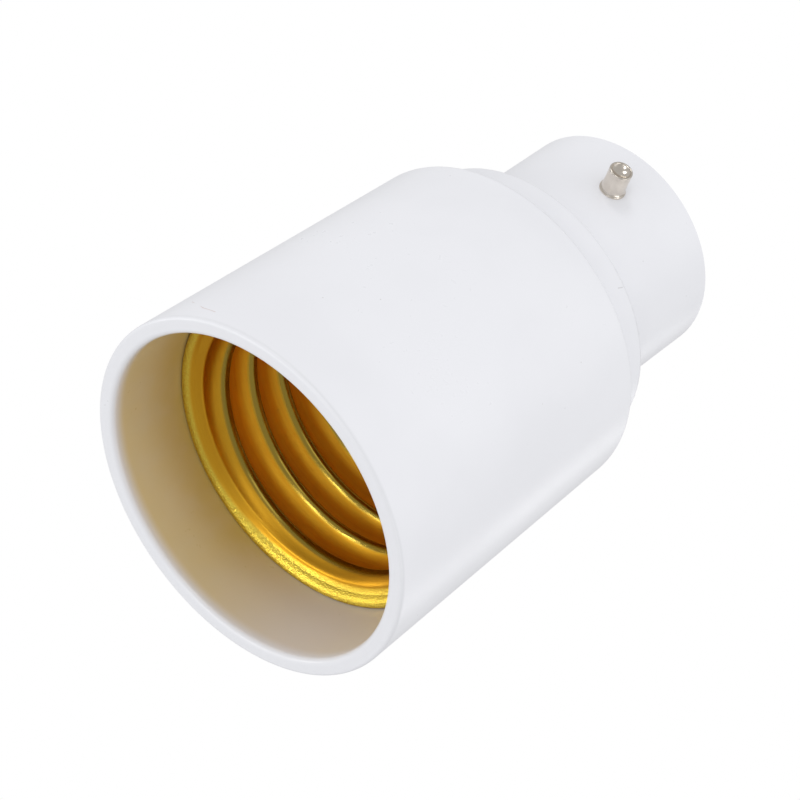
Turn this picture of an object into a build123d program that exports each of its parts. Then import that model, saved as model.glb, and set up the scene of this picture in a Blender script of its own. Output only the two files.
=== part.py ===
"""Lamp socket adapter: a two-pin bayonet base that carries a screw socket for a 27 mm lamp cap.

The part stands on its mouth: the rim lies on z = 0, +Z runs towards the bayonet neck and the pins lie along X.
All lengths are millimetres.
"""

from build123d import *
import os

# Skirt, the white cup round the screw shell
mouth_radius = 17.0
skirt_rear_radius = 16.05
skirt_length = 32.85
skirt_rear_fillet = 0.45
mouth_wall = 1.6
mouth_draft = 0.12
rim_outer_fillet = 0.3
rim_inner_fillet = 0.55
lip_seat_depth = 9.15
rear_wall = 2.45

# Screw shell, rolled from sheet with a round 27 mm lamp thread of seven turns to the inch
shell_sheet = 0.4
cup_sheet = 0.35
thread_pitch = 25.4 / 7
thread_minor_radius = 12.2
thread_depth = 1.1
thread_crest_land = 0.8
thread_root_land = 0.8
thread_lead_in = 2.17
thread_length = 14.35
lip_bend = 1.5
lip_gap = 0.12
shell_clearance = 0.15

# Contact carrier, the insulating floor of the socket
carrier_thickness = 2.4
island_radius = 7.8
island_height = 0.8
island_clearance = 0.2

# Centre contact, a sprung leaf across the socket's floor
leaf_sheet = 0.35
leaf_width = 5.0
leaf_foot_end = -7.2
leaf_root = -3.2
leaf_crown = 1.6
leaf_tip = 4.2
leaf_rise = 3.24
leaf_tip_drop = 1.2
leaf_root_bend = 1.0
leaf_crown_bend = 1.6
leaf_corner_radius = 1.0

# Rivets through the carrier
centre_rivet_y = -5.2
shell_rivet_y = 9.7
rivet_radius = 1.0
rivet_clearance = 0.05
rivet_head_radius = 1.65
rivet_head_height = 0.35
rivet_tail_radius = 1.55
rivet_tail_height = 0.35

# Bayonet base, the collar and the 22 mm neck
collar_ledge = 0.35
collar_length = 4.15
collar_front_chamfer = 0.12
collar_rear_fillet = 0.4
collar_bore_radius = 11.6
collar_bore_depth = 4.65
neck_radius = 11.0
neck_length = 14.05
neck_end_fillet = 0.25
neck_root_fillet = 0.3
neck_wall = 1.8
end_wall = 1.85
spigot_radius = 12.7
spigot_length = 1.9
spigot_clearance = 0.1
boss_radius = 2.3
boss_gap = 0.1
barrier_thickness = 1.2
barrier_height = 12.5

# Fixing screws, from the carrier into the base's bosses
screw_x = 5.4
screw_radius = 1.1
screw_length = 10.0
screw_hole_clearance = 0.15
screw_head_radius = 2.1
screw_head_height = 1.5
screw_head_fillet = 0.45
screw_head_clearance = 0.15
screw_recess_depth = 1.7
screw_slot_width = 0.55
screw_slot_depth = 0.7
screw_slot_length = 2.6
pilot_extra_depth = 1.0

# Bayonet pins
pin_span = 27.0
pin_from_end = 5.55
pin_radius = 1.1
pin_shank_radius = 0.75
pin_root_radius = 1.28
pin_root_height = 0.2
pin_tip_fillet = 0.12
pin_cup_radius = 0.88
pin_cup_depth = 0.42
pin_clinch_radius = 1.3
pin_clinch_height = 0.45

# End contacts
contact_spacing = 8.6
eyelet_radius = 1.2
eyelet_bore_clearance = 0.1
eyelet_flange_radius = 2.3
eyelet_flange_height = 0.4
eyelet_clinch_radius = 1.7
eyelet_clinch_height = 0.3
end_solder_radius = 2.05
end_solder_height = 0.6

# Leads and their solder joints
core_radius = 0.45
sleeve_radius = 0.95
sleeve_clearance = 0.05
sleeve_start = 1.3
sleeve_end_gap = 0.6
joint_solder_radius = 1.25
joint_solder_top_radius = 0.7
joint_solder_height = 1.1
lead_first_run = 2.15
lead_crossing = 7.0
lead_first_bend = 2.0
lead_second_bend = 11.0

# Heights along the axis, from the mouth's rim
carrier_rear = skirt_length - rear_wall
carrier_front = carrier_rear - carrier_thickness
island_front = carrier_front - island_height
spigot_front = skirt_length - spigot_length
collar_end = skirt_length + collar_length
neck_end = collar_end + neck_length
end_wall_inside = neck_end - end_wall
thread_end = lip_seat_depth + thread_length
pin_height = neck_end - pin_from_end

# Radii that follow from the fits
mouth_inner_radius = mouth_radius - mouth_wall
seat_inner_radius = mouth_inner_radius - mouth_draft
groove_radius = thread_minor_radius + thread_depth
shell_radius = groove_radius + shell_sheet
shell_bore_radius = shell_radius + shell_clearance
lip_radius = seat_inner_radius - lip_gap
collar_radius = shell_radius + collar_ledge
neck_bore_radius = neck_radius - neck_wall
rivet_hole_radius = rivet_radius + rivet_clearance
eyelet_bore_radius = core_radius + eyelet_bore_clearance
contact_y = contact_spacing / 2

os.makedirs("parts", exist_ok=True)


def save(piece, name):
    """Labels a finished piece and writes it as its own file."""
    piece.part.label = name
    export_step(piece.part, f"parts/{name}.step")


def upright_section(x, y):
    """Plane through an upright axis at (x, y): the sketch's X is the radius and its Y is the height."""
    return Plane(origin=(x, y, 0), x_dir=(1, 0, 0), z_dir=(0, -1, 0))


def upright_axis(x, y):
    """Axis along +Z through (x, y)."""
    return Axis((x, y, 0), (0, 0, 1))


# Skirt: tapered outside, drafted mouth, a shoulder for the shell's lip and a rear wall with a round hole
with BuildPart() as skirt:
    with BuildSketch(upright_section(0, 0)) as skirt_section:
        with BuildLine():
            Polyline(
                (mouth_inner_radius, 0),
                (mouth_radius, 0),
                (skirt_rear_radius, skirt_length),
                (spigot_radius + spigot_clearance, skirt_length),
                (spigot_radius + spigot_clearance, carrier_rear),
                (shell_bore_radius, carrier_rear),
                (shell_bore_radius, lip_seat_depth),
                (seat_inner_radius, lip_seat_depth),
                close=True,
            )
        make_face()
        corners = skirt_section.vertices()
        fillet(corners.sort_by_distance((mouth_radius, 0))[0], rim_outer_fillet)
        fillet(corners.sort_by_distance((mouth_inner_radius, 0))[0], rim_inner_fillet)
        fillet(corners.sort_by_distance((skirt_rear_radius, skirt_length))[0], skirt_rear_fillet)
    revolve(axis=Axis.Z)
save(skirt, "skirt")

# Screw shell: a flanged cup whose thread is rolled in by two helical grooves, one inside and one outside.
# The blank is longer than the shell at its mouth and unbored behind the thread, so that both grooves run out.
thread_flank = (thread_pitch - thread_crest_land - thread_root_land) / 2
overcut = shell_sheet / 2
half_opening = thread_flank * (1 + overcut / thread_depth)
lip_front = lip_seat_depth - shell_sheet
floor_front = carrier_front - shell_sheet
floor_hole_radius = island_radius + island_clearance
inner_groove_start = lip_seat_depth - thread_lead_in
outer_groove_start = inner_groove_start + 1.5 * thread_pitch
blank_front = inner_groove_start - thread_pitch


def roll_groove(start, end, open_radius, root_radius, root_land):
    """Cuts a right-hand groove whose middle climbs from start to end, from its open side to its root."""
    half_root = root_land / 2
    half_open = half_root + half_opening
    with BuildLine() as helix:
        Helix(thread_pitch, end - start, thread_minor_radius, center=(0, 0, start))
    with BuildSketch(upright_section(0, 0)) as groove:
        with BuildLine():
            Polyline(
                (root_radius, start - half_root),
                (root_radius, start + half_root),
                (open_radius, start + half_open),
                (open_radius, start - half_open),
                close=True,
            )
        make_face()
    sweep(sections=groove.sketch, path=helix.line, is_frenet=True, mode=Mode.SUBTRACT)


with BuildPart() as screw_shell:
    with BuildSketch(upright_section(0, 0)):
        with BuildLine():
            Polyline(
                (thread_minor_radius, blank_front),
                (shell_radius, blank_front),
                (shell_radius, lip_front),
                (lip_radius, lip_front),
                (lip_radius, lip_seat_depth),
                (shell_radius, lip_seat_depth),
                (shell_radius, carrier_front),
                (floor_hole_radius, carrier_front),
                (floor_hole_radius, floor_front),
                (thread_minor_radius, floor_front),
                close=True,
            )
        make_face()
    revolve(axis=Axis.Z)
    roll_groove(
        inner_groove_start,
        thread_end + half_opening,
        thread_minor_radius - overcut,
        groove_radius,
        thread_root_land,
    )
    roll_groove(
        outer_groove_start,
        thread_end - thread_pitch / 2,
        shell_radius + overcut,
        thread_minor_radius + shell_sheet,
        thread_crest_land,
    )
    with BuildSketch(Plane.XY.offset(thread_end)):
        Circle(shell_radius - cup_sheet)
    extrude(amount=floor_front - thread_end, mode=Mode.SUBTRACT)
    with BuildSketch(upright_section(0, 0)):
        with BuildLine():
            Polyline(
                (0, blank_front),
                (mouth_radius, blank_front),
                (mouth_radius, lip_front),
                (thread_minor_radius + lip_bend, lip_front),
            )
            RadiusArc(
                (thread_minor_radius + lip_bend, lip_front),
                (thread_minor_radius, lip_front + lip_bend),
                -lip_bend,
            )
            Polyline((thread_minor_radius, lip_front + lip_bend), (0, lip_front + lip_bend), (0, blank_front))
        make_face()
    revolve(axis=Axis.Z, mode=Mode.SUBTRACT)
    with BuildSketch(Plane.XY.offset(floor_front)):
        with Locations((0, shell_rivet_y)):
            Circle(rivet_hole_radius)
    extrude(amount=shell_sheet, mode=Mode.SUBTRACT)
save(screw_shell, "screw_shell")

# Contact carrier: a disc with a raised island that keeps the centre contact clear of the shell's floor
with BuildPart() as contact_carrier:
    with BuildSketch(Plane.XY.offset(carrier_front)):
        Circle(shell_radius)
    extrude(amount=carrier_thickness)
    with BuildSketch(Plane.XY.offset(island_front)):
        Circle(island_radius)
    extrude(amount=island_height)
    with BuildSketch(Plane.XY.offset(island_front)):
        with Locations((-screw_x, 0), (screw_x, 0)):
            Circle(screw_radius + screw_hole_clearance)
        with Locations((0, centre_rivet_y), (0, shell_rivet_y)):
            Circle(rivet_hole_radius)
    extrude(amount=island_height + carrier_thickness, mode=Mode.SUBTRACT)
    with BuildSketch(Plane.XY.offset(island_front)):
        with Locations((-screw_x, 0), (screw_x, 0)):
            Circle(screw_head_radius + screw_head_clearance)
    extrude(amount=screw_recess_depth, mode=Mode.SUBTRACT)
save(contact_carrier, "contact_carrier")

# Centre contact: one strip with a flat riveted foot, a sloping arm and a rounded crown
with BuildPart() as centre_contact:
    with BuildSketch(Plane.YZ):
        with BuildLine():
            FilletPolyline(
                (leaf_foot_end, island_front),
                (leaf_root, island_front),
                (leaf_crown, island_front - leaf_rise),
                (leaf_tip, island_front - leaf_rise + leaf_tip_drop),
                radius=[leaf_root_bend, leaf_crown_bend],
            )
            offset(amount=leaf_sheet, side=Side.RIGHT)
        make_face()
    extrude(amount=leaf_width / 2, both=True)
    foot_corners = centre_contact.faces().sort_by(Axis.Y)[0].edges().filter_by(Axis.X, reverse=True)
    tip_corners = centre_contact.faces().sort_by(Axis.Y)[-1].edges().filter_by(Axis.X, reverse=True)
    fillet(foot_corners + tip_corners, leaf_corner_radius)
    with BuildSketch(Plane.XY.offset(island_front - leaf_sheet)):
        with Locations((0, centre_rivet_y)):
            Circle(rivet_hole_radius)
    extrude(amount=leaf_sheet, mode=Mode.SUBTRACT)
save(centre_contact, "centre_contact")

# Rivets: each clamps one metal piece on the carrier, with its tail on the carrier's rear face
rivet_seats = {
    "centre_rivet": (centre_rivet_y, island_front - leaf_sheet),
    "shell_rivet": (shell_rivet_y, floor_front),
}
for rivet_name, (rivet_y, head_seat) in rivet_seats.items():
    with BuildPart() as rivet:
        with BuildSketch(upright_section(0, rivet_y)) as rivet_section:
            with BuildLine():
                Polyline(
                    (0, head_seat - rivet_head_height),
                    (rivet_head_radius, head_seat - rivet_head_height),
                    (rivet_head_radius, head_seat),
                    (rivet_radius, head_seat),
                    (rivet_radius, carrier_rear),
                    (rivet_tail_radius, carrier_rear),
                    (rivet_tail_radius, carrier_rear + rivet_tail_height),
                    (0, carrier_rear + rivet_tail_height),
                    close=True,
                )
            make_face()
            head_corner = (rivet_head_radius, head_seat - rivet_head_height)
            fillet(rivet_section.vertices().sort_by_distance(head_corner)[0], rivet_head_height / 2)
        revolve(axis=upright_axis(0, rivet_y))
    save(rivet, rivet_name)

# Bayonet base: spigot, collar and neck in one moulding, with screw bosses and a barrier between the leads
with BuildPart() as bayonet_base:
    with BuildSketch(upright_section(0, 0)) as base_section:
        cone_front = spigot_front + collar_bore_depth - (collar_bore_radius - neck_bore_radius)
        with BuildLine():
            Polyline(
                (collar_bore_radius, spigot_front),
                (spigot_radius, spigot_front),
                (spigot_radius, skirt_length),
                (collar_radius, skirt_length),
                (collar_radius, collar_end),
                (neck_radius, collar_end),
                (neck_radius, neck_end),
                (0, neck_end),
                (0, end_wall_inside),
                (neck_bore_radius, end_wall_inside),
                (neck_bore_radius, spigot_front + collar_bore_depth),
                (collar_bore_radius, cone_front),
                close=True,
            )
        make_face()
        corners = base_section.vertices()
        chamfer(corners.sort_by_distance((collar_radius, skirt_length))[0], collar_front_chamfer)
        fillet(corners.sort_by_distance((collar_radius, collar_end))[0], collar_rear_fillet)
        fillet(corners.sort_by_distance((neck_radius, collar_end))[0], neck_root_fillet)
        fillet(corners.sort_by_distance((neck_radius, neck_end))[0], neck_end_fillet)
    revolve(axis=Axis.Z)
    with BuildSketch(Plane.XY.offset(end_wall_inside)):
        Rectangle(2 * screw_x, barrier_thickness)
    extrude(amount=-barrier_height)
    with BuildSketch(Plane.XY.offset(carrier_rear + boss_gap)):
        with Locations((-screw_x, 0), (screw_x, 0)):
            Circle(boss_radius)
    extrude(amount=end_wall_inside - carrier_rear - boss_gap)
    with BuildSketch(Plane.XY.offset(carrier_rear + boss_gap)):
        with Locations((-screw_x, 0), (screw_x, 0)):
            Circle(screw_radius)
    extrude(amount=screw_length + pilot_extra_depth, mode=Mode.SUBTRACT)
    with BuildSketch(Plane.XY.offset(end_wall_inside)):
        with Locations((0, -contact_y), (0, contact_y)):
            Circle(eyelet_radius)
    extrude(amount=end_wall, mode=Mode.SUBTRACT)
    with BuildSketch(Plane.YZ):
        with Locations((0, pin_height)):
            Circle(pin_shank_radius)
    pin_holes_reach = neck_radius + neck_wall
    extrude(amount=pin_holes_reach, both=True, mode=Mode.SUBTRACT)
save(bayonet_base, "bayonet_base")

# Fixing screws: pan heads sunk in the carrier's recesses, shanks in the bosses
screw_seat = island_front + screw_recess_depth
with BuildPart() as fixing_screws:
    for side in (-1, 1):
        with BuildSketch(upright_section(side * screw_x, 0)) as screw_section:
            with BuildLine():
                Polyline(
                    (0, screw_seat - screw_head_height),
                    (screw_head_radius, screw_seat - screw_head_height),
                    (screw_head_radius, screw_seat),
                    (screw_radius, screw_seat),
                    (screw_radius, screw_seat + screw_length),
                    (0, screw_seat + screw_length),
                    close=True,
                )
            make_face()
            head_corner = (screw_head_radius, screw_seat - screw_head_height)
            fillet(screw_section.vertices().sort_by_distance(head_corner)[0], screw_head_fillet)
        revolve(axis=upright_axis(side * screw_x, 0))
    with BuildSketch(Plane.XY.offset(screw_seat - screw_head_height)):
        with Locations((-screw_x, 0), (screw_x, 0)):
            Rectangle(screw_slot_length, screw_slot_width)
            Rectangle(screw_slot_width, screw_slot_length)
    extrude(amount=screw_slot_depth, mode=Mode.SUBTRACT)
save(fixing_screws, "fixing_screws")

# Bayonet pins: turned pins with a small root flange, a cupped tip and an inner clinch
pin_tip = pin_span / 2
clinch_seat = (neck_bore_radius**2 - pin_clinch_radius**2) ** 0.5
for pin_name, side in (("bayonet_pin_left", -1), ("bayonet_pin_right", 1)):
    with BuildPart() as bayonet_pin:
        pin_plane = Plane(origin=(0, 0, pin_height), x_dir=(side, 0, 0), z_dir=(0, -side, 0))
        with BuildSketch(pin_plane) as pin_section:
            with BuildLine():
                Polyline(
                    (clinch_seat - pin_clinch_height, 0),
                    (clinch_seat - pin_clinch_height, pin_clinch_radius),
                    (clinch_seat, pin_clinch_radius),
                    (clinch_seat, pin_shank_radius),
                    (neck_radius, pin_shank_radius),
                    (neck_radius, pin_root_radius),
                    (neck_radius + pin_root_height, pin_root_radius),
                    (neck_radius + pin_root_height, pin_radius),
                    (pin_tip, pin_radius),
                    (pin_tip, pin_cup_radius),
                    (pin_tip - pin_cup_depth, 0),
                    close=True,
                )
            make_face()
            fillet(pin_section.vertices().sort_by_distance((pin_tip, pin_radius))[0], pin_tip_fillet)
        revolve(axis=Axis((0, 0, pin_height), (side, 0, 0)))
    save(bayonet_pin, pin_name)

# End contacts and leads: one set for the centre contact's side, one for the shell's side
eyelet_top = neck_end + eyelet_flange_height
tail_face = carrier_rear + rivet_tail_height
lead_sets = {
    "live": (centre_rivet_y, -contact_y, "centre_solder"),
    "neutral": (shell_rivet_y, contact_y, "shell_solder"),
}
for lead_name, (start_y, end_y, joint_name) in lead_sets.items():
    with BuildPart() as eyelet:
        with BuildSketch(upright_section(0, end_y)):
            with BuildLine():
                Polyline(
                    (eyelet_bore_radius, end_wall_inside - eyelet_clinch_height),
                    (eyelet_clinch_radius, end_wall_inside - eyelet_clinch_height),
                    (eyelet_clinch_radius, end_wall_inside),
                    (eyelet_radius, end_wall_inside),
                    (eyelet_radius, neck_end),
                    (eyelet_flange_radius, neck_end),
                    (eyelet_flange_radius, eyelet_top),
                    (eyelet_bore_radius, eyelet_top),
                    close=True,
                )
            make_face()
        revolve(axis=upright_axis(0, end_y))
    save(eyelet, f"{lead_name}_end_eyelet")

    with BuildPart() as end_solder:
        with BuildSketch(upright_section(0, end_y)):
            dome_radius = (end_solder_radius**2 + end_solder_height**2) / (2 * end_solder_height)
            with BuildLine():
                Line((0, eyelet_top), (end_solder_radius, eyelet_top))
                RadiusArc(
                    (end_solder_radius, eyelet_top),
                    (0, eyelet_top + end_solder_height),
                    -dome_radius,
                )
                Line((0, eyelet_top + end_solder_height), (0, eyelet_top))
            make_face()
        revolve(axis=upright_axis(0, end_y))
    save(end_solder, f"{lead_name}_end_solder")

    with BuildPart() as joint_solder:
        with BuildSketch(upright_section(0, start_y)):
            with BuildLine():
                Polyline(
                    (core_radius, tail_face),
                    (joint_solder_radius, tail_face),
                    (joint_solder_top_radius, tail_face + joint_solder_height),
                    (core_radius, tail_face + joint_solder_height),
                    close=True,
                )
            make_face()
        revolve(axis=upright_axis(0, start_y))
    save(joint_solder, joint_name)

    first_bend = (0, start_y, tail_face + lead_first_run)
    second_bend = (0, end_y, tail_face + lead_first_run + lead_crossing)
    bend_radii = [lead_first_bend, lead_second_bend]
    with BuildPart() as core:
        with BuildLine() as core_route:
            FilletPolyline(
                (0, start_y, tail_face),
                first_bend,
                second_bend,
                (0, end_y, eyelet_top),
                radius=bend_radii,
            )
        with BuildSketch(Plane.XY.offset(tail_face)):
            with Locations((0, start_y)):
                Circle(core_radius)
        sweep(path=core_route.line)
    save(core, f"{lead_name}_core")

    with BuildPart() as sleeve:
        with BuildLine() as sleeve_route:
            FilletPolyline(
                (0, start_y, tail_face + sleeve_start),
                first_bend,
                second_bend,
                (0, end_y, end_wall_inside - eyelet_clinch_height - sleeve_end_gap),
                radius=bend_radii,
            )
        with BuildSketch(Plane.XY.offset(tail_face + sleeve_start)):
            with Locations((0, start_y)):
                Circle(sleeve_radius)
                Circle(core_radius + sleeve_clearance, mode=Mode.SUBTRACT)
        sweep(path=sleeve_route.line)
    save(sleeve, f"{lead_name}_sleeve")
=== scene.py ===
"""Lamp socket adapter: looks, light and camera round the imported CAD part.

Lengths are millimetres until a mesh is made.
"""

import logging
import math
from dataclasses import dataclass
from enum import Enum
from typing import Sequence

import bmesh
import bpy
import numpy as np
from mathutils import Matrix, Vector


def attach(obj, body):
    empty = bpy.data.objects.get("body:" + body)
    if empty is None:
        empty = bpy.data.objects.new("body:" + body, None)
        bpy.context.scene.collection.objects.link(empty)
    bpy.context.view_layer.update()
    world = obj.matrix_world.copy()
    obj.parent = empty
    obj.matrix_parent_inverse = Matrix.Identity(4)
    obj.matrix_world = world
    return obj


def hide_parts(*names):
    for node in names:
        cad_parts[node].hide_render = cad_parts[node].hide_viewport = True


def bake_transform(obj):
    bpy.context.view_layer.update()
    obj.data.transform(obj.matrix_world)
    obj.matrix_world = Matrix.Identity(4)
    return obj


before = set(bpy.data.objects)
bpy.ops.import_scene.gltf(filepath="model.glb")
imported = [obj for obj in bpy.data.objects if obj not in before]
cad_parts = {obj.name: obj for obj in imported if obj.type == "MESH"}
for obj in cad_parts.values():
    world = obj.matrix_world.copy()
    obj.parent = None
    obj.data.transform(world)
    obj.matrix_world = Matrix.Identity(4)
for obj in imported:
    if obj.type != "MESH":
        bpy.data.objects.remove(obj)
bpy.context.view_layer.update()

MM = 0.001
ADAPTER = "adapter"
Point2 = tuple[float, float]
Point3 = tuple[float, float, float]
Colour = tuple[float, float, float]
Span = tuple[float, float]

MIDDLE = 0.5
FULL_TURN = 2 * math.pi
QUARTER_TURN = math.pi / 2
WELD_METRES = 1e-8
ROUNDING_STEP = 0.35
ROUNDING_MIN_STEPS = 3
SUPPORT_SHARE = 0.15
MIX_FACTOR, MIX_FIRST, MIX_SECOND, MIX_RESULT = 0, 6, 7, 2

log = logging.getLogger("adapter")


class Slot(Enum):
    """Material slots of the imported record."""

    WHITE = "white_plastic"
    GOLD = "gold_shell"
    BRASS = "contact_brass"
    NICKEL = "nickel_pin"
    SOLDER = "solder"
    COPPER = "tinned_copper"
    SLEEVE = "lead_sleeve"
    STEEL = "screw_steel"


class Sock:
    """A shader value: arithmetic on it adds Math nodes to its tree."""

    def __init__(self, tree: "NodeTree", socket: bpy.types.NodeSocket) -> None:
        """Wraps an output socket of a node in the tree."""
        self.tree = tree
        self.socket = socket

    def maths(self, operation: str, *values: "Sock | float") -> "Sock":
        """Applies a Math node.

        Args:
            operation: the Math node's operation.
            values: its operands, in order.

        Returns:
            The node's result.
        """
        inputs = dict(enumerate(values))
        return self.tree.out(self.tree.node("ShaderNodeMath", {"operation": operation}, inputs))

    def __add__(self, other: "Sock | float") -> "Sock":
        """Sum."""
        return self.maths("ADD", self, other)

    def __sub__(self, other: "Sock | float") -> "Sock":
        """Difference."""
        return self.maths("SUBTRACT", self, other)

    def __rsub__(self, other: float) -> "Sock":
        """Difference from a number."""
        return self.maths("SUBTRACT", other, self)

    def __mul__(self, other: "Sock | float") -> "Sock":
        """Product."""
        return self.maths("MULTIPLY", self, other)

    def __truediv__(self, other: "Sock | float") -> "Sock":
        """Quotient."""
        return self.maths("DIVIDE", self, other)

    def __rtruediv__(self, other: float) -> "Sock":
        """Quotient of a number by this value."""
        return self.maths("DIVIDE", other, self)

    def __pow__(self, other: "Sock | float") -> "Sock":
        """Power."""
        return self.maths("POWER", self, other)

    __radd__ = __add__
    __rmul__ = __mul__

    def sine(self) -> "Sock":
        """Sine of the value in radians."""
        return self.maths("SINE", self)

    def held(self) -> "Sock":
        """The value, kept between 0 and 1."""
        return self.maths("MINIMUM", self.maths("MAXIMUM", self, 0.0), 1.0)

    def swing(self, amount: float) -> "Sock":
        """How far a noise is from its middle, times an amount."""
        return (self - MIDDLE) * amount

    def ramp(self, low: float, high: float) -> "Sock":
        """Rises smoothly from 0 at low to 1 at high, or falls where low is the greater."""
        values = {"Value": self, "From Min": low, "From Max": high}
        settings = {"interpolation_type": "SMOOTHSTEP"}
        if low > high:
            values.update({"From Min": high, "From Max": low, "To Min": 1.0, "To Max": 0.0})
        return self.tree.out(self.tree.node("ShaderNodeMapRange", settings, values))


class NodeTree:
    """A node tree of Blender's, emptied and then built by short calls."""

    def __init__(self, tree: bpy.types.NodeTree) -> None:
        """Empties the tree."""
        self.tree = tree
        self.tree.nodes.clear()

    def node(self, kind: str, settings: dict | None = None, values: dict | None = None) -> bpy.types.Node:
        """Adds a node.

        Args:
            kind: the node's type name.
            settings: properties set on the node itself, first.
            values: numbers, colours or links for its input sockets, by name or index.

        Returns:
            The new node.
        """
        made = self.tree.nodes.new(kind)
        for key, value in (settings or {}).items():
            setattr(made, key, value)
        for key, value in (values or {}).items():
            if isinstance(value, Sock):
                self.tree.links.new(value.socket, made.inputs[key])
            else:
                made.inputs[key].default_value = value
        return made

    def out(self, node: bpy.types.Node, key: int | str = 0) -> Sock:
        """Wraps one output of a node."""
        return Sock(self, node.outputs[key])


@dataclass(frozen=True)
class Grain:
    """One noise: cells to the millimetre, finer octaves and how much those count."""

    scale: float
    detail: float = 2.0
    roughness: float = 0.5


class Graph(NodeTree):
    """The node tree of one material, with the object's coordinates in millimetres."""

    def __init__(self, name: str) -> None:
        """Starts a material of that name."""
        self.material = bpy.data.materials.new(name)
        self.material.use_nodes = True
        super().__init__(self.material.node_tree)
        place = self.out(self.node("ShaderNodeTexCoord"), "Object")
        self.place = self.vector("SCALE", place, scale=1 / MM)
        split = self.node("ShaderNodeSeparateXYZ", {}, {0: self.place})
        self.x, self.y, self.z = (self.out(split, i) for i in range(3))
        self.radius = (self.x * self.x + self.y * self.y) ** 0.5

    def vector(
        self, operation: str, first: Sock, second: "Sock | Point3 | None" = None, scale: float = 1.0
    ) -> Sock:
        """Applies a Vector Math node.

        Args:
            operation: the node's operation.
            first: the first vector.
            second: the second vector, where there is one.
            scale: the factor of a SCALE.

        Returns:
            A vector, or a number for a product or a distance.
        """
        values = {0: first}
        if operation == "SCALE":
            values["Scale"] = scale
        if second is not None:
            values[1] = second
        node = self.node("ShaderNodeVectorMath", {"operation": operation}, values)
        return self.out(node, "Value" if operation in ("DOT_PRODUCT", "DISTANCE") else "Vector")

    def join(self, x: Sock, y: Sock, z: Sock) -> Sock:
        """A vector from three values."""
        return self.out(self.node("ShaderNodeCombineXYZ", {}, {0: x, 1: y, 2: z}))

    def noise(self, vector: Sock, grain: Grain) -> Sock:
        """Noise between 0 and 1."""
        values = {
            "Vector": vector,
            "Scale": grain.scale,
            "Detail": grain.detail,
            "Roughness": grain.roughness,
        }
        return self.out(self.node("ShaderNodeTexNoise", {}, values))

    def cells(self, vector: Sock, scale: float) -> tuple[Sock, Sock]:
        """Distance to the nearest scattered point, in cells, and a random number for that point."""
        node = self.node("ShaderNodeTexVoronoi", {}, {"Vector": vector, "Scale": scale})
        split = self.node("ShaderNodeSeparateColor", {}, {0: self.out(node, "Color")})
        return self.out(node, "Distance"), self.out(split)

    def mix(self, factor: Sock, first: "Sock | Colour", second: "Sock | Colour") -> Sock:
        """Mixes two colours."""
        values = {MIX_FACTOR: factor}
        for key, value in ((MIX_FIRST, first), (MIX_SECOND, second)):
            values[key] = value if isinstance(value, Sock) else (*value, 1.0)
        return self.out(self.node("ShaderNodeMix", {"data_type": "RGBA"}, values), MIX_RESULT)

    def bump(self, height: Sock, depth: float, strength: float = 1.0) -> Sock:
        """Normal of a relief so many millimetres deep."""
        values = {"Height": height, "Distance": depth * MM, "Strength": strength}
        return self.out(self.node("ShaderNodeBump", {}, values))

    def turned(self, around: float, along: float) -> Sock:
        """Coordinates for streaks that run round the axis: slow round it and fast along it."""
        return self.join(self.x / self.radius * around, self.y / self.radius * around, self.z * along)

    def close(self, shader: Sock) -> bpy.types.Material:
        """Sends a shader to the output and gives the finished material."""
        self.node("ShaderNodeOutputMaterial", {}, {0: shader})
        return self.material

    def finish(self, values: dict) -> bpy.types.Material:
        """Closes the tree with a Principled shader.

        Args:
            values: the shader's inputs.

        Returns:
            The finished material.
        """
        return self.close(self.out(self.node("ShaderNodeBsdfPrincipled", {}, values)))


@dataclass(frozen=True)
class Mark:
    """A small mark on a surface, such as a tick or a hair, between two points."""

    start: Point3
    end: Point3
    width: float
    colour: Colour
    strength: float
    core: float = 0.45

    def mask(self, graph: Graph) -> Sock:
        """How much of the mark covers a point, from 0 to 1."""
        reach = Vector(self.end) - Vector(self.start)
        offset = graph.vector("SUBTRACT", graph.place, self.start)
        along = graph.vector("DOT_PRODUCT", offset, tuple(reach / reach.length_squared)).held()
        foot = graph.join(*(along * part for part in reach))
        gap = graph.vector("DISTANCE", offset, foot)
        return gap.ramp(self.width, self.width * self.core) * self.strength


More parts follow.
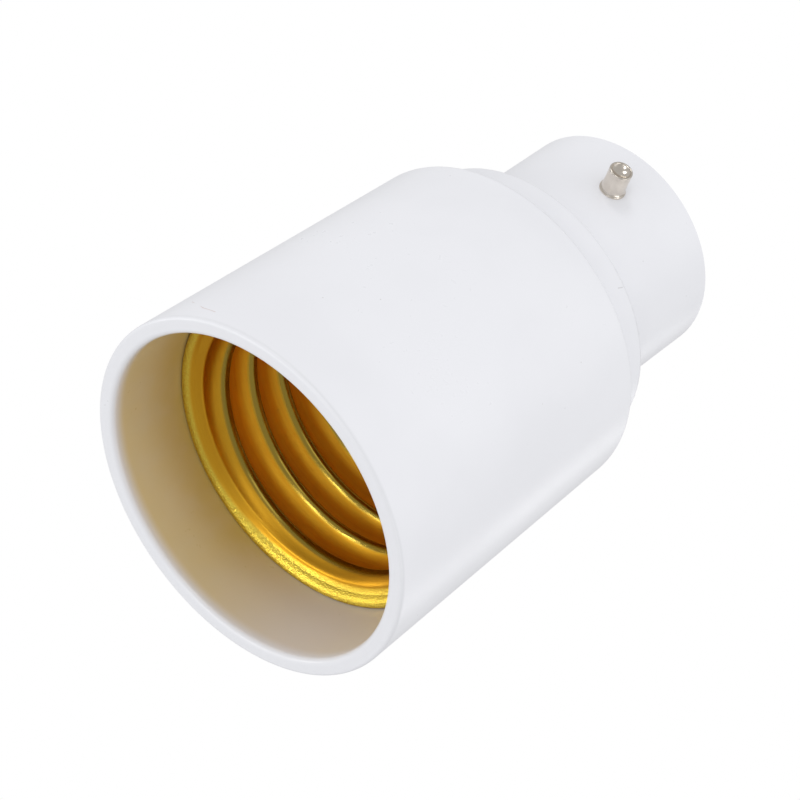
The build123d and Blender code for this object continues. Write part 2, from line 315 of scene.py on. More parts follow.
@dataclass(frozen=True)
class CupPaintedLight:
    """Painted light in the cup: painted shade on its rim; on its wall, painted shade and gold reflection
    deepening towards the shell and a painted lit tone towards +Y.
    """

    depth: float
    radius: float
    # Painted light: shade and gold reflection on the wall, and a lit tone towards +Y.
    shaded_wall_colour: Colour = (0.665, 0.54, 0.29)
    gold_reflection: Colour = (0.575, 0.42, 0.125)
    lit_wall_colour: Colour = (0.67, 0.615, 0.555)
    # Painted shade on the rim's front face.
    rim_shade: Colour = (0.69, 0.695, 0.725)
    edge: float = 0.12
    end_span: Span = (0.6, -0.2)
    gold_reflection_start: float = 3.0
    lit_wall_span: Span = (-4.0, 9.0)
    lit_wall_share: float = 0.9
    patch: Grain = Grain(0.35)
    patch_span: Span = (0.3, 0.75)
    patch_share: float = 0.1
    rim_shade_span: Span = (0.6, 0.15)
    wall_span: Span = (0.1, 1.6)

    def over(self, g: Graph, base: Sock) -> Sock:
        """Lays the painted light over a colour.

        Args:
            g: the material's graph.
            base: the colour of the plain plastic.

        Returns:
            The colour with the cup's painted light.
        """
        # Painted light on the inner wall: painted shade and gold reflection deepening towards the shell, a
        # painted lit tone towards +Y, and random patches of that tone.
        inside = g.radius.ramp(self.radius + self.edge, self.radius - self.edge)
        inside = inside * g.z.ramp(*(self.depth + offset for offset in self.end_span))
        painted_light = g.mix(g.z.ramp(self.gold_reflection_start, self.depth), self.shaded_wall_colour, self.gold_reflection)
        painted_light = g.mix(g.y.ramp(*self.lit_wall_span) * self.lit_wall_share, painted_light, self.lit_wall_colour)
        patches = g.noise(g.place, self.patch).ramp(*self.patch_span)
        painted_light = g.mix(patches * self.patch_share, painted_light, self.lit_wall_colour)
        # Painted shade on the rim's front face.
        base = g.mix(g.z.ramp(*self.rim_shade_span), base, self.rim_shade)
        return g.mix(inside * g.z.ramp(*self.wall_span), base, painted_light)


@dataclass(frozen=True)
class WhitePlastic:
    """Moulded white plastic: a soft gloss over a faint swell, with a few specks and marks of its own."""

    name: str
    colour: Colour = (0.79, 0.795, 0.83)
    shade: Colour = (0.765, 0.77, 0.805)
    roughness: float = 0.31
    cup: CupPaintedLight | None = None
    marks: tuple[Mark, ...] = ()
    cloud: Grain = Grain(0.08, 3.0)
    cloud_span: Span = (0.35, 0.7)
    cloud_rough: float = 0.1
    skin: Grain = Grain(1.6, 3.0)
    skin_rough: float = 0.12
    speck_scale: float = 0.42
    speck_span: Span = (0.036, 0.015)
    speck_chance: Span = (0.5, 0.55)
    speck_colour: Colour = (0.30, 0.27, 0.25)
    speck_share: float = 0.4
    speck_rough: float = 0.2
    swell: Grain = Grain(0.4)
    swell_share: float = 0.3
    relief: float = 0.03
    relief_strength: float = 0.5
    refraction: float = 1.49

    def material(self) -> bpy.types.Material:
        """Builds the material."""
        g = Graph(self.name)
        cloud = g.noise(g.place, self.cloud)
        skin = g.noise(g.place, self.skin)
        base = g.mix(cloud.ramp(*self.cloud_span), self.colour, self.shade)
        distance, chance = g.cells(g.place, self.speck_scale)
        speck = distance.ramp(*self.speck_span) * chance.ramp(*self.speck_chance)
        base = g.mix(speck * self.speck_share, base, self.speck_colour)
        # Painted light inside the cup and painted shade on its rim, where a cup is given.
        if self.cup is not None:
            base = self.cup.over(g, base)
        for mark in self.marks:
            base = g.mix(mark.mask(g), base, mark.colour)
        rough = self.roughness + skin.swing(self.skin_rough) + cloud.swing(self.cloud_rough)
        height = cloud + g.noise(g.place, self.swell) * self.swell_share
        return g.finish(
            {
                "Base Color": base,
                "Roughness": rough + speck * self.speck_rough,
                "IOR": self.refraction,
                "Normal": g.bump(height, self.relief, self.relief_strength),
            }
        )


@dataclass(frozen=True)
class GoldSheet:
    """Gold-coloured rolled sheet: finely streaked in the thread, sand-blasted on the lip, with painted
    highlight, shade and dark reflections.
    """

    name: str
    colour: Colour = (0.95, 0.54, 0.04)
    deep: Colour = (0.90, 0.47, 0.03)
    deep_span: Span = (0.3, 0.75)
    fine: Grain = Grain(1.0, 3.0, 0.6)
    fine_turn: Span = (9.0, 34.0)
    coarse: Grain = Grain(1.0, 3.0, 0.55)
    coarse_turn: Span = (3.0, 5.0)
    stain: Grain = Grain(0.55, 4.0, 0.6)
    stain_span: Span = (0.62, 0.85)
    stain_colour: Colour = (0.42, 0.24, 0.06)
    stain_share: float = 0.3
    # Painted shade behind the lip, deeper towards +Y.
    throat_shade_colour: Colour = (0.48, 0.235, 0.015)
    throat_span: Span = (12.4, 10.2)
    throat_share: float = 0.6
    throat_side: float = 0.35
    throat_side_span: Span = (-4.0, 9.0)
    throat_gloss: float = 0.6
    # Painted dark reflection on the thread's crests.
    crest_dark_reflection: Colour = (0.27, 0.215, 0.045)
    crest: float = 12.2
    crest_span: Span = (0.6, 0.3)
    crest_share: float = 0.85
    thread_end: float = 23.5
    thread_fade: float = 1.0
    # Colour of the sand-blasted lip, also a painted highlight where it reaches further in towards +Y.
    lip_blast_and_highlight: Colour = (0.78, 0.60, 0.08)
    lip_back: float = 9.2
    lip_fade: float = 0.25
    lip_bore: float = 14.55
    bore_fade: float = 0.3
    # Painted highlight: how much further in the pale lip reaches towards +Y.
    lip_highlight_reach: float = 0.85
    lip_highlight_span: Span = (-10.0, 9.0)
    lip_share: float = 0.65
    sparkle: Grain = Grain(6.0, 1.0)
    sparkle_span: Span = (0.35, 0.65)
    sparkle_share: float = 0.35
    roughness: float = 0.2
    fine_rough: float = 0.12
    stain_rough: float = 0.08
    lip_rough: float = 0.1
    groove_rough: float = 0.3
    crest_gloss: float = 0.1
    fine_height: float = 0.6
    coarse_height: float = 0.4
    streak_height: float = 0.5
    blast_height: float = 2.6
    relief: float = 0.02

    def material(self) -> bpy.types.Material:
        """Builds the material."""
        g = Graph(self.name)
        fine = g.noise(g.turned(*self.fine_turn), self.fine)
        coarse = g.noise(g.turned(*self.coarse_turn), self.coarse)
        stain = g.noise(g.place, self.stain)
        lip = g.z.ramp(self.lip_back, self.lip_back - self.lip_fade)
        # The pale lip reaches further in towards +Y, a painted highlight where the light falls.
        highlight_radius = g.radius + g.y.ramp(*self.lip_highlight_span) * self.lip_highlight_reach
        lip = lip * highlight_radius.ramp(self.lip_bore - self.bore_fade, self.lip_bore)
        ridge = g.radius.ramp(*(self.crest + offset for offset in self.crest_span))
        ridge = ridge * g.z.ramp(self.thread_end + self.thread_fade, self.thread_end)
        sparkle = g.noise(g.place, self.sparkle)
        blast = self.lip_share + self.sparkle_share * sparkle.ramp(*self.sparkle_span)
        base = g.mix(coarse.ramp(*self.deep_span), self.colour, self.deep)
        base = g.mix(stain.ramp(*self.stain_span) * self.stain_share, base, self.stain_colour)
        # Painted shade on the first turns behind the lip, deeper towards +Y; the grooves there are also
        # glossier.
        throat_shade = g.z.ramp(*self.throat_span)
        shaded = self.throat_share + g.y.ramp(*self.throat_side_span) * self.throat_side
        base = g.mix(throat_shade * shaded, base, self.throat_shade_colour)
        # Painted dark reflection along the crests.
        base = g.mix(ridge * self.crest_share, base, self.crest_dark_reflection)
        # Pale sand-blasted lip, with painted highlight towards +Y.
        base = g.mix(lip * blast, base, self.lip_blast_and_highlight)
        rough = self.roughness + fine.swing(self.fine_rough) + stain * self.stain_rough
        groove = (1.0 - lip) * (1.0 - ridge) * (1.0 - throat_shade * self.throat_gloss)
        rough = rough + lip * self.lip_rough + groove * self.groove_rough
        streaks = fine * self.fine_height + coarse * self.coarse_height
        relief = (1.0 - lip) * streaks * self.streak_height + lip * sparkle * self.blast_height
        return g.finish(
            {
                "Base Color": base,
                "Metallic": 1.0,
                "Roughness": rough - ridge * self.crest_gloss,
                "Normal": g.bump(relief, self.relief),
            }
        )


@dataclass(frozen=True)
class WornMetal:
    """Plain bright metal with fine scratches and a dull tarnish that gathers in patches."""

    name: str
    colour: Colour
    tarnish: Colour
    roughness: float
    stretch: Point3 = (1.0, 1.0, 1.0)
    relief: float = 0.006
    relief_strength: float = 0.6
    scratch: Grain = Grain(7.0, 3.0, 0.6)
    scratch_rough: float = 0.18
    patch: Grain = Grain(0.9, 4.0, 0.6)
    patch_span: Span = (0.42, 0.8)
    patch_share: float = 0.5
    patch_rough: float = 0.12

    def material(self) -> bpy.types.Material:
        """Builds the material."""
        g = Graph(self.name)
        scratches = g.noise(g.vector("MULTIPLY", g.place, self.stretch), self.scratch)
        patches = g.noise(g.place, self.patch)
        base = g.mix(patches.ramp(*self.patch_span) * self.patch_share, self.colour, self.tarnish)
        rough = self.roughness + scratches.swing(self.scratch_rough) + patches * self.patch_rough
        return g.finish(
            {
                "Base Color": base,
                "Metallic": 1.0,
                "Roughness": rough,
                "Normal": g.bump(scratches, self.relief, self.relief_strength),
            }
        )


@dataclass(frozen=True)
class WovenSleeve:
    """Insulating sleeve of crossed threads."""

    name: str
    colour: Colour = (0.56, 0.50, 0.40)
    gap_colour: Colour = (0.30, 0.26, 0.20)
    thread_rate: float = 9.0
    fray: Grain = Grain(6.0, 3.0)
    roughness: float = 0.7
    fray_rough: float = 0.2
    relief: float = 0.05

    def material(self) -> bpy.types.Material:
        """Builds the material."""
        g = Graph(self.name)
        rising = (g.x + g.z) * self.thread_rate
        falling = (g.y - g.z) * self.thread_rate
        weave = rising.sine() * falling.sine() * MIDDLE + MIDDLE
        fray = g.noise(g.place, self.fray)
        return g.finish(
            {
                "Base Color": g.mix(weave * fray, self.gap_colour, self.colour),
                "Roughness": self.roughness + fray * self.fray_rough,
                "Normal": g.bump(weave, self.relief),
            }
        )


def rounded(corners: Sequence[Point3], step: float = ROUNDING_STEP) -> list[Point2]:
    """Rounds an outline's corners.

    Args:
        corners: radius, height and rounding of each corner, in order.
        step: turn between points of a rounding, in radians.

    Returns:
        The outline's points, with a support point on each side of every rounding.
    """
    points: list[Point2] = []
    count = len(corners)
    for i, (r, z, bend) in enumerate(corners):
        if bend <= 0:
            points.append((r, z))
            continue
        here = np.array((r, z))
        to_last = np.array(corners[i - 1][:2]) - here
        to_next = np.array(corners[(i + 1) % count][:2]) - here
        back, ahead = to_last / np.linalg.norm(to_last), to_next / np.linalg.norm(to_next)
        half = math.acos(max(-1.0, min(1.0, float(back @ ahead)))) / 2
        reach = bend / math.tan(half)
        middle = here + (back + ahead) / np.linalg.norm(back + ahead) * bend / math.sin(half)
        first, last = here + back * reach, here + ahead * reach
        start, end = first - middle, last - middle
        turn = math.pi - 2 * half
        steps = max(ROUNDING_MIN_STEPS, math.ceil(turn / step))
        sense = math.copysign(1.0, start[0] * end[1] - start[1] * end[0])
        points.append(tuple(first + back * bend * SUPPORT_SHARE))
        for k in range(steps + 1):
            a = sense * turn * k / steps
            points.append(
                (
                    middle[0] + start[0] * math.cos(a) - start[1] * math.sin(a),
                    middle[1] + start[0] * math.sin(a) + start[1] * math.cos(a),
                )
            )
        points.append(tuple(last + ahead * bend * SUPPORT_SHARE))
    return points


def run_lengths(path: np.ndarray) -> np.ndarray:
    """Length along a path up to each of its points."""
    return np.concatenate([[0], np.cumsum(np.linalg.norm(np.diff(path, axis=0), axis=1))])


def round_angles(count: int) -> np.ndarray:
    """So many even angles round an axis."""
    return np.linspace(0, FULL_TURN, count, endpoint=False)


class Piece:
    """A mesh of the visual model, made from rings of points and tied to the frame."""

    def __init__(self, name: str, rings: np.ndarray, closed: bool, sharp_deg: float = 40.0) -> None:
        """Skins rings of points.

        Args:
            name: the object's name.
            rings: millimetre points, as rows by points round a row by three.
            closed: whether the last row joins the first.
            sharp_deg: edges that turn by more stay sharp.
        """
        rows, around = rings.shape[:2]
        index = np.arange(rows * around).reshape(rows, around)
        nearer = index if closed else index[:-1]
        farther = np.roll(index, -1, 0) if closed else index[1:]
        corners = [nearer, np.roll(nearer, -1, 1), np.roll(farther, -1, 1), farther]
        faces = np.stack(corners, -1).reshape(-1, 4)
        mesh = bpy.data.meshes.new(name)
        mesh.from_pydata((rings.reshape(-1, 3) * MM).tolist(), [], faces.tolist())
        work = bmesh.new()
        work.from_mesh(mesh)
        bmesh.ops.remove_doubles(work, verts=work.verts, dist=WELD_METRES)
        bmesh.ops.recalc_face_normals(work, faces=work.faces)
        work.to_mesh(mesh)
        work.free()
        mesh.shade_smooth()
        mesh.set_sharp_from_angle(angle=math.radians(sharp_deg))
        self.object = bpy.data.objects.new(name, mesh)
        bpy.context.collection.objects.link(self.object)

    @classmethod
    def turned(
        cls, name: str, outline: Sequence[Point2], closed: bool, around: int, place: Matrix | None = None
    ) -> "Piece":
        """Turns an outline of radii and heights about the axis of a placement.

        Args:
            name: the object's name.
            outline: radius and height of each point.
            closed: whether the outline is a loop.
            around: points round each ring.
            place: placement of the axis, in millimetres, where it isn't the part's own.

        Returns:
            The piece.
        """
        angles = round_angles(around)
        flat = np.array(outline)
        rings = np.stack(
            [
                flat[:, :1] * np.cos(angles),
                flat[:, :1] * np.sin(angles),
                np.repeat(flat[:, 1:], around, 1),
            ],
            -1,
        )
        if place is not None:
            rings = rings @ np.array(place.to_3x3()).T + np.array(place.translation)
        return cls(name, rings, closed)

    def dress(self, material: bpy.types.Material, slot: Slot, *nodes: str) -> "Piece":
        """Gives the piece its finish and names the CAD nodes that it stands for.

        Args:
            material: the finish.
            slot: its material slot; not used.
            nodes: the CAD nodes.

        Returns:
            The piece itself.
        """
        self.object.data.materials.clear()
        self.object.data.materials.append(material)
        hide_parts(*nodes)
        log.info("%s stands for %s", self.object.name, ", ".join(nodes))
        return self

    def ride(self, body: str) -> "Piece":
        """Ties the piece to one CAD body."""
        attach(self.object, body)
        return self


def paint(material: bpy.types.Material, slot: Slot, *nodes: str) -> None:
    """Gives a finish to CAD nodes that are shown as they are.

    Args:
        material: the finish.
        slot: its material slot; not used.
        nodes: the CAD nodes.
    """
    for name in nodes:
        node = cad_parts[name]
        node.data.materials.clear()
        node.data.materials.append(material)
        log.info("%s keeps its CAD form", name)


@dataclass
class Skirt:
    """The white cup round the screw shell."""

    mouth_radius: float = 17.0
    rear_radius: float = 16.05
    length: float = 32.85
    mouth_inner: float = 15.4
    seat_inner: float = 15.28
    seat_depth: float = 9.15
    bore: float = 13.85
    wall_front: float = 30.4
    spigot_hole: float = 12.8
    rim_inner_bend: float = 0.55
    rim_outer_bend: float = 0.3
    rear_bend: float = 0.45
    inner_bend: float = 0.1
    seat_bend: float = 0.08
    bend_step: float = 0.2
    tint_margin: float = 0.5
    hair: tuple[Point3, ...] = ((10.86, -12.95, 3.26), (12.85, -11.04, 1.97), (13.93, -9.66, 1.63))
    hair_width: float = 0.06
    hair_colour: Colour = (0.42, 0.2, 0.14)
    hair_strength: float = 0.4
    around: int = 256

    def outline(self) -> list[Point2]:
        """The section, with the rim's two roundings and the rear edge's."""
        return rounded(
            (
                (self.mouth_inner, 0.0, self.rim_inner_bend),
                (self.mouth_radius, 0.0, self.rim_outer_bend),
                (self.rear_radius, self.length, self.rear_bend),
                (self.spigot_hole, self.length, self.inner_bend),
                (self.spigot_hole, self.wall_front, self.inner_bend),
                (self.bore, self.wall_front, self.inner_bend),
                (self.bore, self.seat_depth, self.inner_bend),
                (self.seat_inner, self.seat_depth, self.seat_bend),
            ),
            step=self.bend_step,
        )

    def build(self) -> None:
        """Makes the cup and dresses it."""
        marks = tuple(
            Mark(start, end, self.hair_width, self.hair_colour, self.hair_strength)
            for start, end in zip(self.hair, self.hair[1:])
        )
        # Painted shade, gold reflection and lit tone in the cup, and painted shade on its rim.
        painted_light = CupPaintedLight(self.seat_depth, self.mouth_inner + self.tint_margin)
        finish = WhitePlastic("white_skirt", cup=painted_light, marks=marks)
        piece = Piece.turned("skirt_cup", self.outline(), True, self.around)
        piece.dress(finish.material(), Slot.WHITE, "skirt").ride(ADAPTER)


@dataclass
class ScrewShell:
    """The gold shell with its round rolled thread and flared lip."""

    pitch: float = 25.4 / 7
    crest: float = 12.2
    depth: float = 1.1
    groove_height: float = 6.98
    groove_share: float = 0.78
    thread_fade: Span = (22.5, 23.9)
    lip_front: float = 8.4
    lip_back: float = 9.15
    lip_radius: float = 15.16
    lip_lean: float = 0.6
    lip_edge: tuple[Point2, ...] = ((0.0, 0.12), (-0.02, 0.06), (-0.06, 0.02), (-0.12, 0.0))
    flare_length: float = 2.3
    flare_width: float = 1.85
    flare_fall: float = 3.0
    flare_blend: float = 0.22
    cup_radius: float = 13.35
    cup_limit: float = 13.7
    floor_front: float = 27.6
    floor_back: float = 28.0
    floor_hole: float = 8.0
    floor_rings: Point2 = (12.0, 10.0)
    hole_burr: Point2 = (0.1, 0.03)
    sheet: float = 0.4
    corner: float = 0.6
    rear_corner: Point2 = (0.55, 0.5)
    seat_gap: float = 0.005
    around: int = 240
    lip_rows: int = 10
    thread_rows: int = 150
    corner_rows: int = 6
    outer_rows: int = 60
    sharp_deg: float = 50.0
    finish: GoldSheet = GoldSheet("gold_sheet")

    def thread(self, z: float, angle: np.ndarray) -> np.ndarray:
        """Radius of the shell's inner face.

        Args:
            z: the height.
            angle: angles round the axis.

        Returns:
            Radii by angle: an arc each for crest and groove, a flare at the lip, a plain cup behind.
        """
        half_groove = self.groove_share * self.pitch / 2
        half_crest = self.pitch / 2 - half_groove
        groove_depth = self.depth * self.groove_share
        crest_depth = self.depth - groove_depth
        groove_bend = (half_groove**2 + groove_depth**2) / (2 * groove_depth)
        crest_bend = (half_crest**2 + crest_depth**2) / (2 * crest_depth)
        phase = (z - self.groove_height) / self.pitch - angle / FULL_TURN
        offset = np.abs(phase - np.round(phase)) * self.pitch
        near = np.minimum(offset, half_groove)
        far = np.minimum(self.pitch / 2 - offset, half_crest)
        groove = groove_bend - np.sqrt(groove_bend**2 - near**2)
        ridge = self.depth - crest_bend + np.sqrt(crest_bend**2 - far**2)
        rolled = self.crest + self.depth - np.where(offset <= half_groove, groove, ridge)
        low, high = self.thread_fade
        fade = np.clip((z - low) / (high - low), 0, 1)
        fade = fade * fade * (3 - 2 * fade)
        rolled = rolled * (1 - fade) + self.cup_radius * fade
        drop = (self.lip_front + self.lip_lean + self.flare_length - z) / self.flare_length
        arc = np.sqrt(1 - np.clip(drop, 0, 1) ** 2)
        flare = self.crest + self.flare_width * (1 - arc) + self.flare_fall * np.minimum(drop, 0)
        return 0.5 * (rolled + flare + np.sqrt((rolled - flare) ** 2 + self.flare_blend**2))

    def rings(self) -> np.ndarray:
        """Rows of points: lip, thread, cup, floor and the outer face back to the lip."""
        angle = round_angles(self.around)
        ones = np.ones_like(angle)
        rows = [(self.lip_radius * ones, self.lip_back)]
        rows += [((self.lip_radius + r) * ones, self.lip_front + z) for r, z in self.lip_edge]
        lip_inner = self.lip_front + self.lip_lean
        lip_outer = self.lip_radius + self.lip_edge[-1][0]
        mouth = self.thread(lip_inner, angle)
        for t in np.linspace(1 / self.lip_rows, 1.0, self.lip_rows):
            rows.append(((1 - t) * lip_outer + t * mouth, self.lip_front + self.lip_lean * t**2))
        heights = np.linspace(lip_inner, self.floor_front - self.corner, self.thread_rows)[1:]
        rows += [(self.thread(z, angle), z) for z in heights]
        for a in np.linspace(0, QUARTER_TURN, self.corner_rows + 1)[1:]:
            r = self.cup_radius - self.corner * (1 - math.cos(a))
            rows.append((r * ones, self.floor_front - self.corner * (1 - math.sin(a))))
        burr_width, burr_height = self.hole_burr
        for r in (*self.floor_rings, self.floor_hole + burr_width):
            rows.append((r * ones, self.floor_front))
        rows.append((self.floor_hole * ones, self.floor_front + burr_height))
        rear_inset, rear_rise = self.rear_corner
        for r in (self.floor_hole, self.floor_rings[-1], self.cup_radius + self.sheet - rear_inset):
            rows.append((r * ones, self.floor_back - self.seat_gap))
        for z in np.linspace(self.floor_back - rear_rise, self.lip_back, self.outer_rows):
            outside = np.minimum(self.thread(z, angle) + self.sheet, self.cup_limit)
            rows.append((outside, z - self.seat_gap))
        return np.stack([np.stack([r * np.cos(angle), r * np.sin(angle), z * ones], -1) for r, z in rows])

    def build(self) -> None:
        """Makes the shell and dresses it."""
        piece = Piece("screw_shell_rolled", self.rings(), True, sharp_deg=self.sharp_deg)
        piece.dress(self.finish.material(), Slot.GOLD, "screw_shell").ride(ADAPTER)


@dataclass
class BayonetBase:
    """The white collar and neck, shown in their CAD form."""

    tick: Mark = Mark((11.34, 8.29, 36.5), (11.44, 8.15, 36.0), 0.07, (0.42, 0.4, 0.4), 0.4)

    def build(self) -> None:
        """Dresses the base."""
        finish = WhitePlastic("white_base", marks=(self.tick,))
        paint(finish.material(), Slot.WHITE, "bayonet_base")


@dataclass
class BayonetPins:
    """The two nickelled pins of the neck."""

    height: float = 45.5
    neck_radius: float = 11.0
    clinch_front: float = 8.658
    clinch_back: float = 9.108
    clinch_radius: float = 1.3
    clinch_bends: Point2 = (0.15, 0.1)
    shank: float = 0.75
    root: float = 1.26
    root_sunk: float = 0.12
    root_proud: float = 0.08
    root_bends: Point2 = (0.05, 0.06)
    barrel: float = 1.1
    barrel_start: float = 0.3
    barrel_bend: float = 0.3
    tip: float = 13.5
    tip_bends: Point2 = (0.1, 0.06)
    cup: float = 0.93
    cup_taper: float = 0.04
    cup_wall: float = 0.1
    cup_depth: float = 0.42
    cup_rows: int = 10
    around: int = 72
    finish: WornMetal = WornMetal(
        "nickel_plate",
        (0.75, 0.69, 0.615),
        (0.52, 0.455, 0.38),
        0.13,
        stretch=(0.2, 1.0, 1.0),
        relief=0.003,
        patch_share=0.3,
    )

    def outline(self) -> list[Point2]:
        """The pin's section from its inner end to the bottom of its cup."""
        bottom = self.cup - self.cup_taper
        points = rounded(
            (
                (0.0, self.clinch_front, 0.0),
                (self.clinch_radius, self.clinch_front, self.clinch_bends[0]),
                (self.clinch_radius, self.clinch_back, self.clinch_bends[1]),
                (self.shank, self.clinch_back, 0.0),
                (self.shank, self.neck_radius - self.root_sunk, 0.0),
                (self.root, self.neck_radius - self.root_sunk, self.root_bends[0]),
                (self.root, self.neck_radius + self.root_proud, self.root_bends[1]),
                (self.barrel, self.neck_radius + self.barrel_start, self.barrel_bend),
                (self.barrel, self.tip, self.tip_bends[0]),
                (self.cup, self.tip, self.tip_bends[1]),
                (bottom, self.tip - self.cup_wall, 0.0),
            )
        )
        for share in np.linspace(1 - 1 / self.cup_rows, 0.0, self.cup_rows):
            depth = self.cup_wall + (self.cup_depth - self.cup_wall) * (1 - share**2)
            points.append((bottom * share, self.tip - depth))
        return points

    def build(self) -> None:
        """Makes both pins and dresses them."""
        material = self.finish.material()
        for name, side in (("right", 1), ("left", -1)):
            turn = Matrix.Rotation(side * QUARTER_TURN, 4, "Y")
            place = Matrix.Translation((0, 0, self.height)) @ turn
            piece = Piece.turned(f"pin_{name}_turned", self.outline(), False, self.around, place)
            piece.dress(material, Slot.NICKEL, f"bayonet_pin_{name}").ride(ADAPTER)


@dataclass
class EndContacts:
    """The two soldered contacts on the neck's end, and the brass eyelets and rivets."""

    spacing: float = 8.6
    seat: float = 51.45
    radius: float = 2.05
    height: float = 0.6
    fullness: float = 0.8
    two_lobes: float = 0.16
    three_lobes: float = 0.1
    around: int = 48
    rows: int = 14
    solder: WornMetal = WornMetal(
        "solder", (0.70, 0.70, 0.69), (0.40, 0.40, 0.39), 0.34, stretch=(0.5, 0.5, 0.5), relief=0.02
    )
    brass: WornMetal = WornMetal("contact_brass", (0.82, 0.60, 0.29), (0.48, 0.33, 0.15), 0.28)

    def dome(self, side: int) -> np.ndarray:
        """Rings of one solder dome, a little uneven as solder sets.

        Args:
            side: 1 for the dome towards +Y, -1 for the other.

        Returns:
            Millimetre points, from the middle of its flat underside to its top.
        """
        angle = round_angles(self.around)
        lobes = self.two_lobes * np.sin(2 * angle + side) + self.three_lobes * np.sin(3 * angle + 2 * side)
        rings = []
        for t in np.linspace(0, 1, self.rows):
            reach = self.radius * np.cos(t * QUARTER_TURN) * (1 + t * (1 - t) * lobes)
            lift = self.height * np.sin(t * QUARTER_TURN) ** self.fullness
            y = side * self.spacing / 2 + reach * np.sin(angle)
            rings.append(np.stack([reach * np.cos(angle), y, np.full_like(angle, self.seat + lift)], -1))
        underside = rings[0].mean(0, keepdims=True).repeat(self.around, 0)
        return np.array([underside, *rings])

    def build(self) -> None:
        """Makes the domes, and dresses them and the CAD forms of the same two metals."""
        solder, brass = self.solder.material(), self.brass.material()
        for name, side in (("live", -1), ("neutral", 1)):
            piece = Piece(f"{name}_end_dome", self.dome(side), False)
            piece.dress(solder, Slot.SOLDER, f"{name}_end_solder").ride(ADAPTER)
        paint(solder, Slot.SOLDER, "centre_solder", "shell_solder")
        paint(brass, Slot.BRASS, "live_end_eyelet", "neutral_end_eyelet", "centre_rivet", "shell_rivet")


@dataclass
class CentreContact:
    """The sprung brass leaf on the socket's floor: its foot stays riveted while its arm flexes."""

    foot_end: float = -7.2
    root: float = -3.2
    crown: float = 1.6
    tip: float = 4.2
    seat: float = 27.2
    rise: float = 3.24
    tip_drop: float = 1.2
    root_bend: float = 1.0
    crown_bend: float = 1.6
    bend_step: float = 0.1
    sheet: float = 0.35
    width: float = 5.0
    corner: float = 1.0
    edge: float = 0.06
    step: float = 0.2
    flex_half: float = 0.8
    sharp_deg: float = 35.0
    finish: WornMetal = WornMetal(
        "leaf_brass", (0.84, 0.62, 0.28), (0.50, 0.34, 0.14), 0.24, stretch=(3.0, 0.3, 1.0)
    )

    def path(self) -> np.ndarray:
        """Points along the leaf's face on the carrier's side, evenly spaced."""
        peak = self.seat - self.rise
        corners = (
            (self.foot_end, self.seat, 0.0),
            (self.root, self.seat, self.root_bend),
            (self.crown, peak, self.crown_bend),
            (self.tip, peak + self.tip_drop, 0.0),
        )
        uneven = np.array(rounded(corners, self.bend_step))
        length = run_lengths(uneven)
        even = np.linspace(0, length[-1], round(length[-1] / self.step))
        return np.stack([np.interp(even, length, uneven[:, i]) for i in range(2)], -1)

    def section(self, half: float) -> tuple[Point2, ...]:
        """The strip's section with eased edges, as offsets across its width and through its sheet."""
        edge, sheet = self.edge, self.sheet
        return (
            (-half + edge, 0.0),
            (half - edge, 0.0),
            (half, edge),
            (half, sheet - edge),
            (half - edge, sheet),
            (-half + edge, sheet),
            (-half, sheet - edge),
            (-half, edge),
        )

    def rings(self) -> np.ndarray:
        """Cross-sections of the leaf, narrowed at both ends by its rounded corners."""
        path = self.path()
        ahead = np.gradient(path, axis=0)
        ahead /= np.linalg.norm(ahead, axis=1, keepdims=True)
        off = np.stack([ahead[:, 1], -ahead[:, 0]], -1)
        length = run_lengths(path)
        inset = np.minimum(length, length[-1] - length)
        cut = np.clip(self.corner - inset, 0, self.corner)
        halves = self.width / 2 - self.corner + np.sqrt(self.corner**2 - cut**2)
        solid = np.array(
            [
                [(x, y + ny * d, z + nz * d) for x, d in self.section(half)]
                for (y, z), (ny, nz), half in zip(path, off, halves)
            ]
        )
        ends = [solid[i].mean(0, keepdims=True).repeat(solid.shape[1], 0) for i in (0, -1)]
        return np.concatenate([ends[0][None], solid, ends[1][None]])

    def build(self) -> None:
        """Makes the leaf, dresses it and bakes its placement into its mesh."""
        piece = Piece("centre_contact_leaf", self.rings(), False, sharp_deg=self.sharp_deg)
        piece.dress(self.finish.material(), Slot.BRASS, "centre_contact")
        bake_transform(piece.object)


@dataclass
class InnerWorks:
    """The carrier, screws and leads inside the body, shown in their CAD form."""

    carrier: WhitePlastic = WhitePlastic("white_carrier", (0.74, 0.73, 0.70), (0.69, 0.68, 0.65), 0.5)
    steel: WornMetal = WornMetal("screw_zinc", (0.66, 0.66, 0.65), (0.42, 0.40, 0.36), 0.3)
    copper: WornMetal = WornMetal("tinned_wire", (0.74, 0.68, 0.60), (0.55, 0.38, 0.26), 0.35)
    sleeve: WovenSleeve = WovenSleeve("woven_sleeve")

    def build(self) -> None:
        """Dresses the inner pieces."""
        paint(self.carrier.material(), Slot.WHITE, "contact_carrier")
        paint(self.steel.material(), Slot.STEEL, "fixing_screws")
        paint(self.copper.material(), Slot.COPPER, "live_core", "neutral_core")
        paint(self.sleeve.material(), Slot.SLEEVE, "live_sleeve", "neutral_sleeve")


@dataclass(frozen=True)
class SoftLight:
    """A square soft light: its place along the photograph's own directions, its side and its watts."""

    name: str
    place: Point3
    side: float
    watts: float


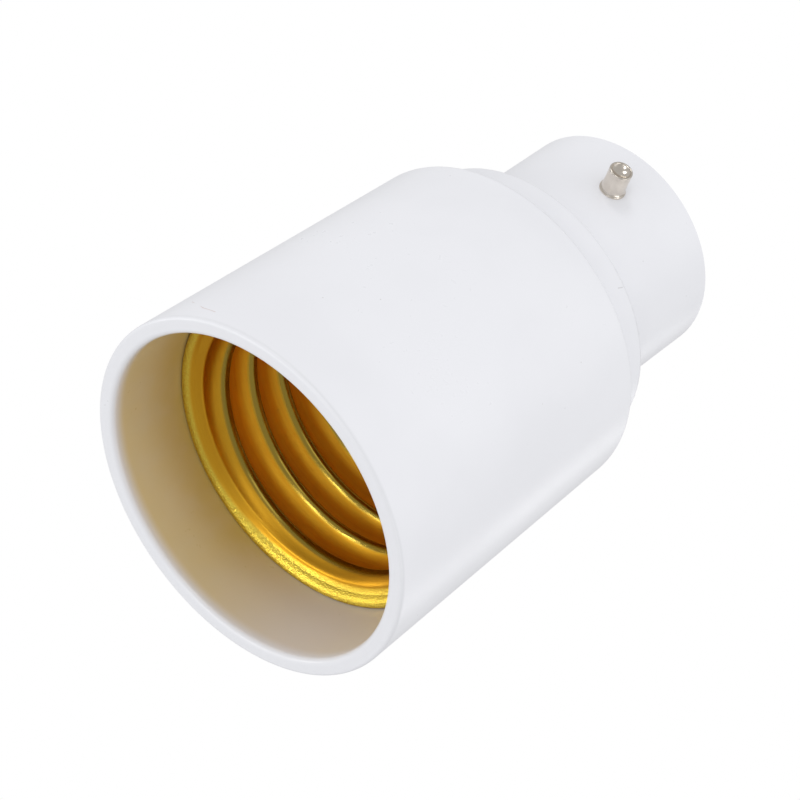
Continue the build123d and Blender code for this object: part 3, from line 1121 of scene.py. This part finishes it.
@dataclass
class Studio:
    """White surroundings, a pale floor, soft lights and the camera at the photograph's angle."""

    position: Point3 = (188.7, 70.2, -139.8)
    right: Point3 = (0.2750, 0.7180, 0.6393)
    up: Point3 = (0.6191, -0.6410, 0.4536)
    back: Point3 = (0.7355, 0.2710, -0.6209)
    focal_pixels: float = 2932.7
    image_pixels: float = 800.0
    clip_metres: Span = (0.01, 20.0)
    middle: Point3 = (0.0, 0.0, 26.0)
    floor_half: float = 1500.0
    floor_colours: tuple[Colour, Colour] = ((0.86, 0.86, 0.87), (0.9, 0.9, 0.9))
    floor_grain: Grain = Grain(0.01)
    floor_roughness: float = 0.9
    direct: float = 1.0
    ambient: float = 0.82
    gloss: float = 0.53
    lights: tuple[SoftLight, ...] = (
        SoftLight("front", (-60, 80, 700), 400, 0.36),
        SoftLight("crown", (0, 380, 600), 160, 0.36),
        SoftLight("top", (20, 600, 200), 150, 0.42),
        SoftLight("side", (600, 0, 200), 400, 0.2),
        SoftLight("low_side", (420, -420, 250), 400, 0.64),
        SoftLight("rear", (342, -252, -452), 120, 0.06),
        SoftLight("left", (-620, 45, -20), 120, 0.36),
        SoftLight("left_front", (-560, -20, 220), 120, 0.44),
        SoftLight("mouth", (-470, -90, 390), 140, 0.38),
    )

    def axes(self) -> Matrix:
        """The photograph's right, up and back directions, as columns."""
        return Matrix((self.right, self.up, self.back)).transposed()

    def world(self) -> None:
        """White as seen directly and through; dimmer as a light and in gloss, as a room with lamps is."""
        world = bpy.data.worlds.new("white_room")
        bpy.context.scene.world = world
        world.use_nodes = True
        tree = NodeTree(world.node_tree)
        path = tree.node("ShaderNodeLightPath")

        def glow(strength: float) -> Sock:
            """White of one strength."""
            values = {"Color": (1.0, 1.0, 1.0, 1.0), "Strength": strength}
            return tree.out(tree.node("ShaderNodeBackground", {}, values))

        shown = glow(self.ambient)
        for ray, strength in (
            ("Is Glossy Ray", self.gloss),
            ("Is Transmission Ray", self.direct),
            ("Is Camera Ray", self.direct),
        ):
            values = {0: tree.out(path, ray), 1: shown, 2: glow(strength)}
            shown = tree.out(tree.node("ShaderNodeMixShader", {}, values))
        tree.node("ShaderNodeOutputWorld", {}, {0: shown})

    def floor(self) -> None:
        """A pale floor under the rim, shown from above only, so that light reaches the mouth from below."""
        half = self.floor_half * MM
        corners = [(-half, -half, 0), (half, -half, 0), (half, half, 0), (-half, half, 0)]
        mesh = bpy.data.meshes.new("floor")
        mesh.from_pydata(corners, [], [(0, 1, 2, 3)])
        floor = bpy.data.objects.new("floor", mesh)
        bpy.context.collection.objects.link(floor)
        g = Graph("pale_floor")
        tone = g.mix(g.noise(g.place, self.floor_grain), *self.floor_colours)
        values = {"Base Color": tone, "Roughness": self.floor_roughness, "Specular IOR Level": 0.0}
        plain = g.out(g.node("ShaderNodeBsdfPrincipled", {}, values))
        clear = g.out(g.node("ShaderNodeBsdfTransparent"))
        seen = g.out(g.node("ShaderNodeLightPath"), "Is Camera Ray")
        behind = g.out(g.node("ShaderNodeNewGeometry"), "Backfacing")
        shown = g.node("ShaderNodeMixShader", {}, {0: seen * (1.0 - behind), 1: clear, 2: plain})
        mesh.materials.append(g.close(g.out(shown)))

    def camera(self) -> None:
        """Sets the camera."""
        data = bpy.data.cameras.new("portrait")
        data.lens = data.sensor_width * self.focal_pixels / self.image_pixels
        data.clip_start, data.clip_end = self.clip_metres
        camera = bpy.data.objects.new("portrait", data)
        camera.matrix_world = Matrix.Translation(Vector(self.position) * MM) @ self.axes().to_4x4()
        bpy.context.collection.objects.link(camera)
        bpy.context.scene.camera = camera

    def hang(self, light: SoftLight) -> None:
        """Hangs a light so that it faces the object."""
        data = bpy.data.lights.new(light.name, "AREA")
        data.energy, data.size = light.watts, light.side * MM
        lamp = bpy.data.objects.new(light.name, data)
        away = self.axes() @ Vector(light.place)
        turn = away.to_track_quat("Z", "Y").to_matrix().to_4x4()
        lamp.matrix_world = Matrix.Translation((Vector(self.middle) + away) * MM) @ turn
        bpy.context.collection.objects.link(lamp)

    def build(self) -> None:
        """Sets up everything round the object."""
        bpy.context.scene.view_settings.view_transform = "Standard"
        self.world()
        self.floor()
        self.camera()
        for light in self.lights:
            self.hang(light)


def main() -> None:
    """Builds the sub-assemblies in order."""
    logging.basicConfig(level=logging.INFO, format="%(message)s")
    body = (Skirt(), ScrewShell(), BayonetBase(), BayonetPins())
    contacts = (EndContacts(), CentreContact(), InnerWorks())
    for part in (*body, *contacts, Studio()):
        part.build()


if __name__ == "__main__":
    main()
